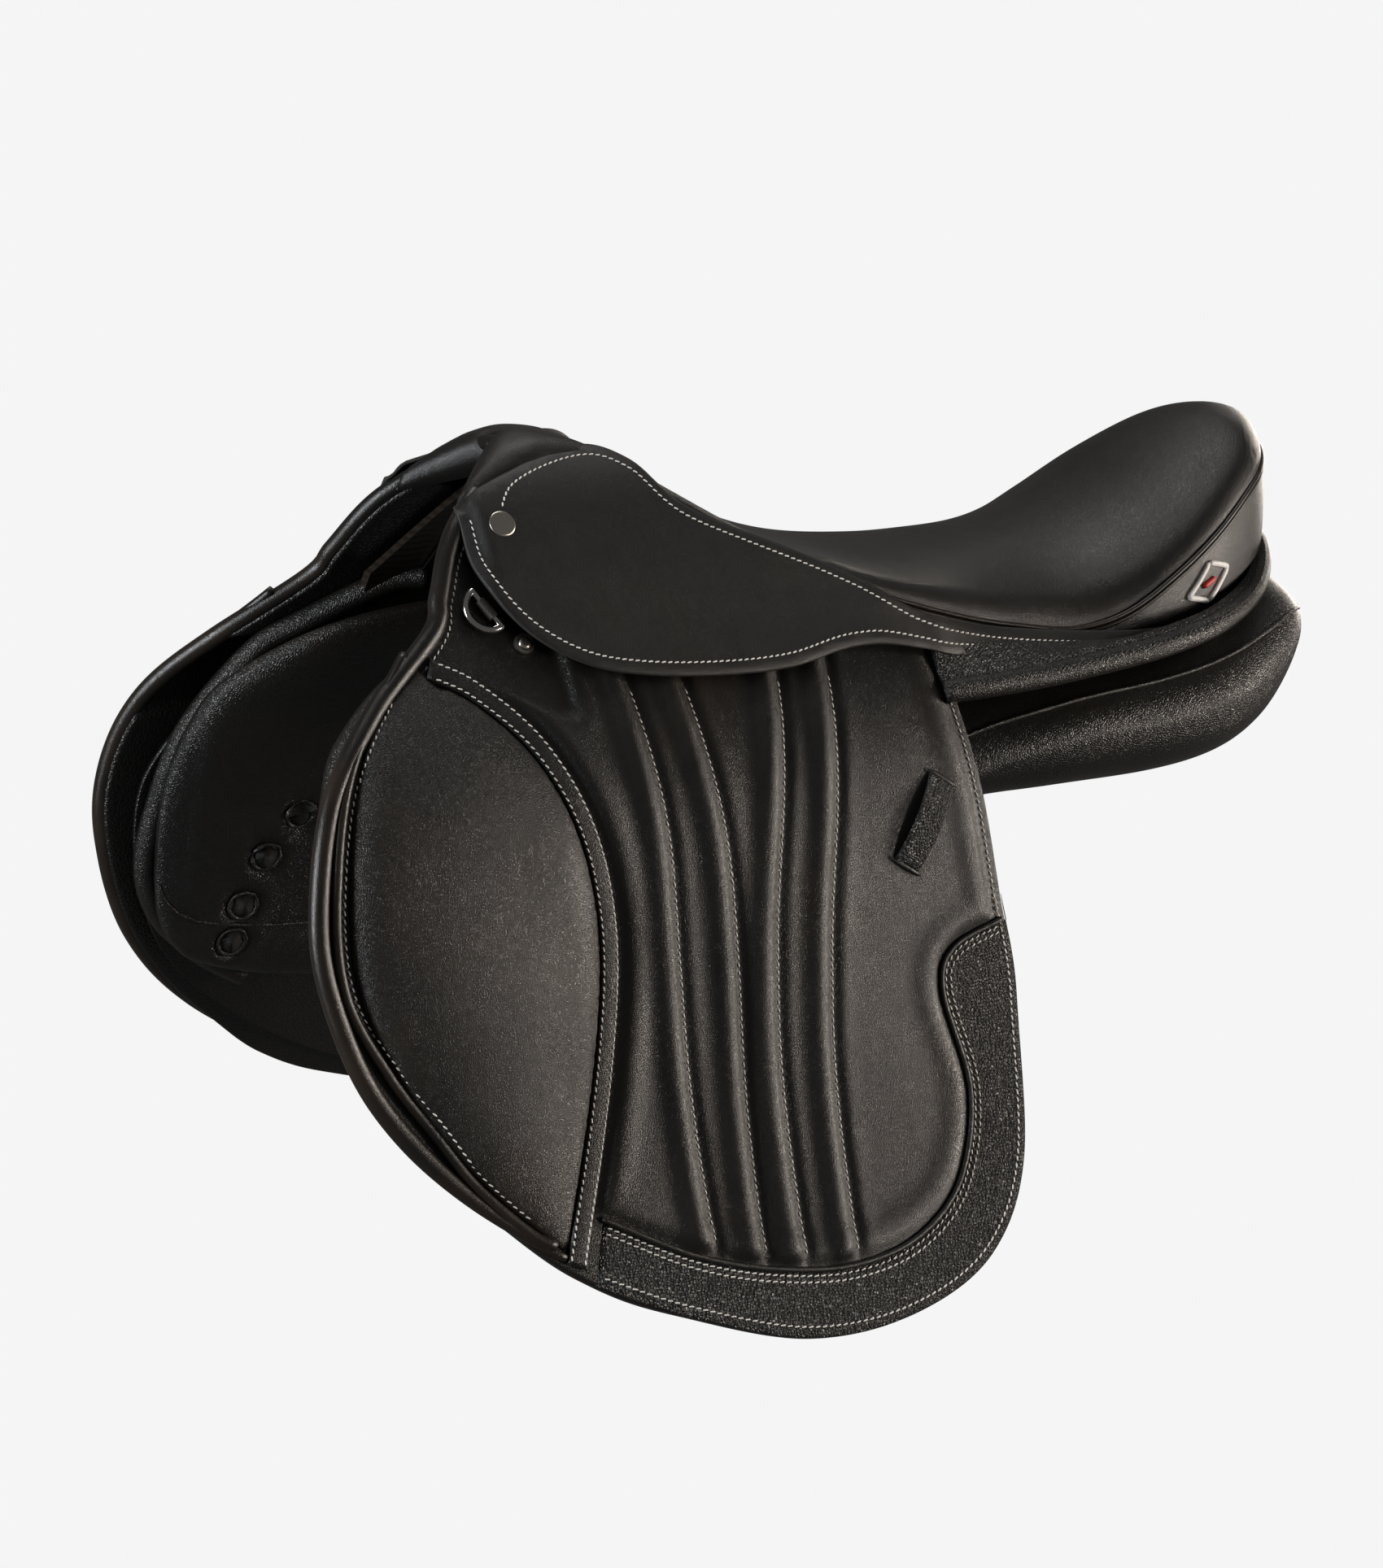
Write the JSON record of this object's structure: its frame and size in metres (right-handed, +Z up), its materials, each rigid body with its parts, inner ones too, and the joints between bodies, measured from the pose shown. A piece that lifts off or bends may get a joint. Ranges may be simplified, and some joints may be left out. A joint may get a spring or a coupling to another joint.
{
  "type": "english saddle",
  "caption": "English jumping saddle with a deep seat, forward flaps with knee pads, lifting skirts over stirrup bars, and two bearing panels.",
  "frame": {"origin": "on the centre plane, at the middle of the bearing that the two panels make on the horse's back", "axes": "+X towards the cantle (rear), +Z up, the near (left) side is -Y"},
  "size_m": [0.6076, 0.442, 0.41],
  "materials": {
    "black_smooth_leather": "fine-grained calf, semi-gloss",
    "black_grained_leather": "printed pebble grain, satin",
    "panel_leather": "soft panel hide, semi-gloss",
    "girth_strap_leather": "bridle butt, satin",
    "satin_nickel": "satin nickel",
    "bright_chrome": "polished",
    "forged_steel": "forged, ground",
    "black_steel": "blackened",
    "laminated_beech": "laminated, dark stained and sealed",
    "seat_foam": "open-cell foam",
    "canvas_web": "woven webbing"
  },
  "bodies": {
    "root": {"near_flap_upper": "black_smooth_leather", "near_front_roll_upper": "black_smooth_leather", "near_skirt_upper": "black_smooth_leather", "near_head_nail": "satin_nickel", "near_stirrup_bar": "forged_steel", "near_catch_pin": "forged_steel", "near_dee_chape": "black_grained_leather", "near_panel": "panel_leather", "near_sweat_flap": "black_grained_leather", "near_knee_block": "panel_leather", "near_tree_rail": "laminated_beech", "off_flap_upper": "black_smooth_leather", "off_front_roll_upper": "black_smooth_leather", "off_skirt_upper": "black_smooth_leather", "off_head_nail": "satin_nickel", "off_stirrup_bar": "forged_steel", "off_catch_pin": "forged_steel", "off_dee_chape": "black_grained_leather", "off_panel": "panel_leather", "off_sweat_flap": "black_grained_leather", "off_knee_block": "panel_leather", "off_tree_rail": "laminated_beech", "tree_head": "laminated_beech", "gullet_plate": "forged_steel", "tree_cantle": "laminated_beech", "tree_rivets": "forged_steel", "seat_foam": "seat_foam", "seat_cover": "black_smooth_leather", "seat_webs": "canvas_web", "spring_steels": "forged_steel", "pommel_cover": "black_smooth_leather", "cantle_facing": "black_smooth_leather", "cup_washers": "black_steel", "flap_screws": "black_steel", "bar_rivets": "forged_steel", "girth_webs": "canvas_web"},
    "near_flap_body": {"near_flap": "black_smooth_leather", "near_front_roll": "black_smooth_leather", "near_knee_pad": "black_smooth_leather", "near_pad_band": "black_smooth_leather", "near_flap_border": "black_grained_leather", "near_leather_keeper": "black_grained_leather"},
    "near_skirt_body": {"near_skirt": "black_smooth_leather"},
    "near_catch_body": {"near_bar_catch": "forged_steel"},
    "near_dee_body": {"near_front_dee": "bright_chrome"},
    "near_straps_body": {"near_girth_straps": "girth_strap_leather"},
    "off_flap_body": {"off_flap": "black_smooth_leather", "off_front_roll": "black_smooth_leather", "off_knee_pad": "black_smooth_leather", "off_pad_band": "black_smooth_leather", "off_flap_border": "black_grained_leather", "off_leather_keeper": "black_grained_leather"},
    "off_skirt_body": {"off_skirt": "black_smooth_leather"},
    "off_catch_body": {"off_bar_catch": "forged_steel"},
    "off_dee_body": {"off_front_dee": "bright_chrome"},
    "off_straps_body": {"off_girth_straps": "girth_strap_leather"}
  },
  "joints": [
    {"name": "near_flap_lift", "type": "hinge", "parent": "root", "child": "near_flap_body", "pos_m": [-0.15, -0.11305, 0.05], "axis": [-1, 0, 0], "range_deg": [0, 80]},
    {"name": "off_flap_lift", "type": "hinge", "parent": "root", "child": "off_flap_body", "pos_m": [-0.15, 0.11305, 0.05], "axis": [1, 0, 0], "range_deg": [0, 80]},
    {"name": "near_skirt_lift", "type": "hinge", "parent": "root", "child": "near_skirt_body", "pos_m": [-0.215, -0.06607, 0.128], "axis": [-0.9601, 0.1607, 0.2288], "range_deg": [0, 60]},
    {"name": "off_skirt_lift", "type": "hinge", "parent": "root", "child": "off_skirt_body", "pos_m": [-0.215, 0.06607, 0.128], "axis": [0.9601, 0.1607, -0.2288], "range_deg": [0, 60]},
    {"name": "near_bar_catch_turn", "type": "hinge", "parent": "root", "child": "near_catch_body", "pos_m": [-0.0885, -0.0778, 0.09258], "axis": [0, -0.8288, 0.5595], "range_deg": [0, 90]},
    {"name": "off_bar_catch_turn", "type": "hinge", "parent": "root", "child": "off_catch_body", "pos_m": [-0.0885, 0.0778, 0.09258], "axis": [0, -0.8288, -0.5595], "range_deg": [0, 90]},
    {"name": "near_dee_swing", "type": "hinge", "parent": "root", "child": "near_dee_body", "pos_m": [-0.215, -0.07037, 0.10573], "axis": [-0.4695, 0.494, 0.7318], "range_deg": [0, 60]},
    {"name": "off_dee_swing", "type": "hinge", "parent": "root", "child": "off_dee_body", "pos_m": [-0.215, 0.07037, 0.10573], "axis": [0.4695, 0.494, -0.7318], "range_deg": [0, 60]},
    {"name": "near_strap_swing", "type": "hinge", "parent": "root", "child": "near_straps_body", "pos_m": [-0.026, -0.0993, 0.048], "axis": [-1, 0, 0], "range_deg": [0, 12]},
    {"name": "off_strap_swing", "type": "hinge", "parent": "root", "child": "off_straps_body", "pos_m": [-0.026, 0.0993, 0.048], "axis": [1, 0, 0], "range_deg": [0, 12]}
  ],
  "couplings": [
    {"joint": "near_strap_swing", "follows": "near_flap_lift", "ratio": 0.15},
    {"joint": "off_strap_swing", "follows": "off_flap_lift", "ratio": 0.15}
  ]
}
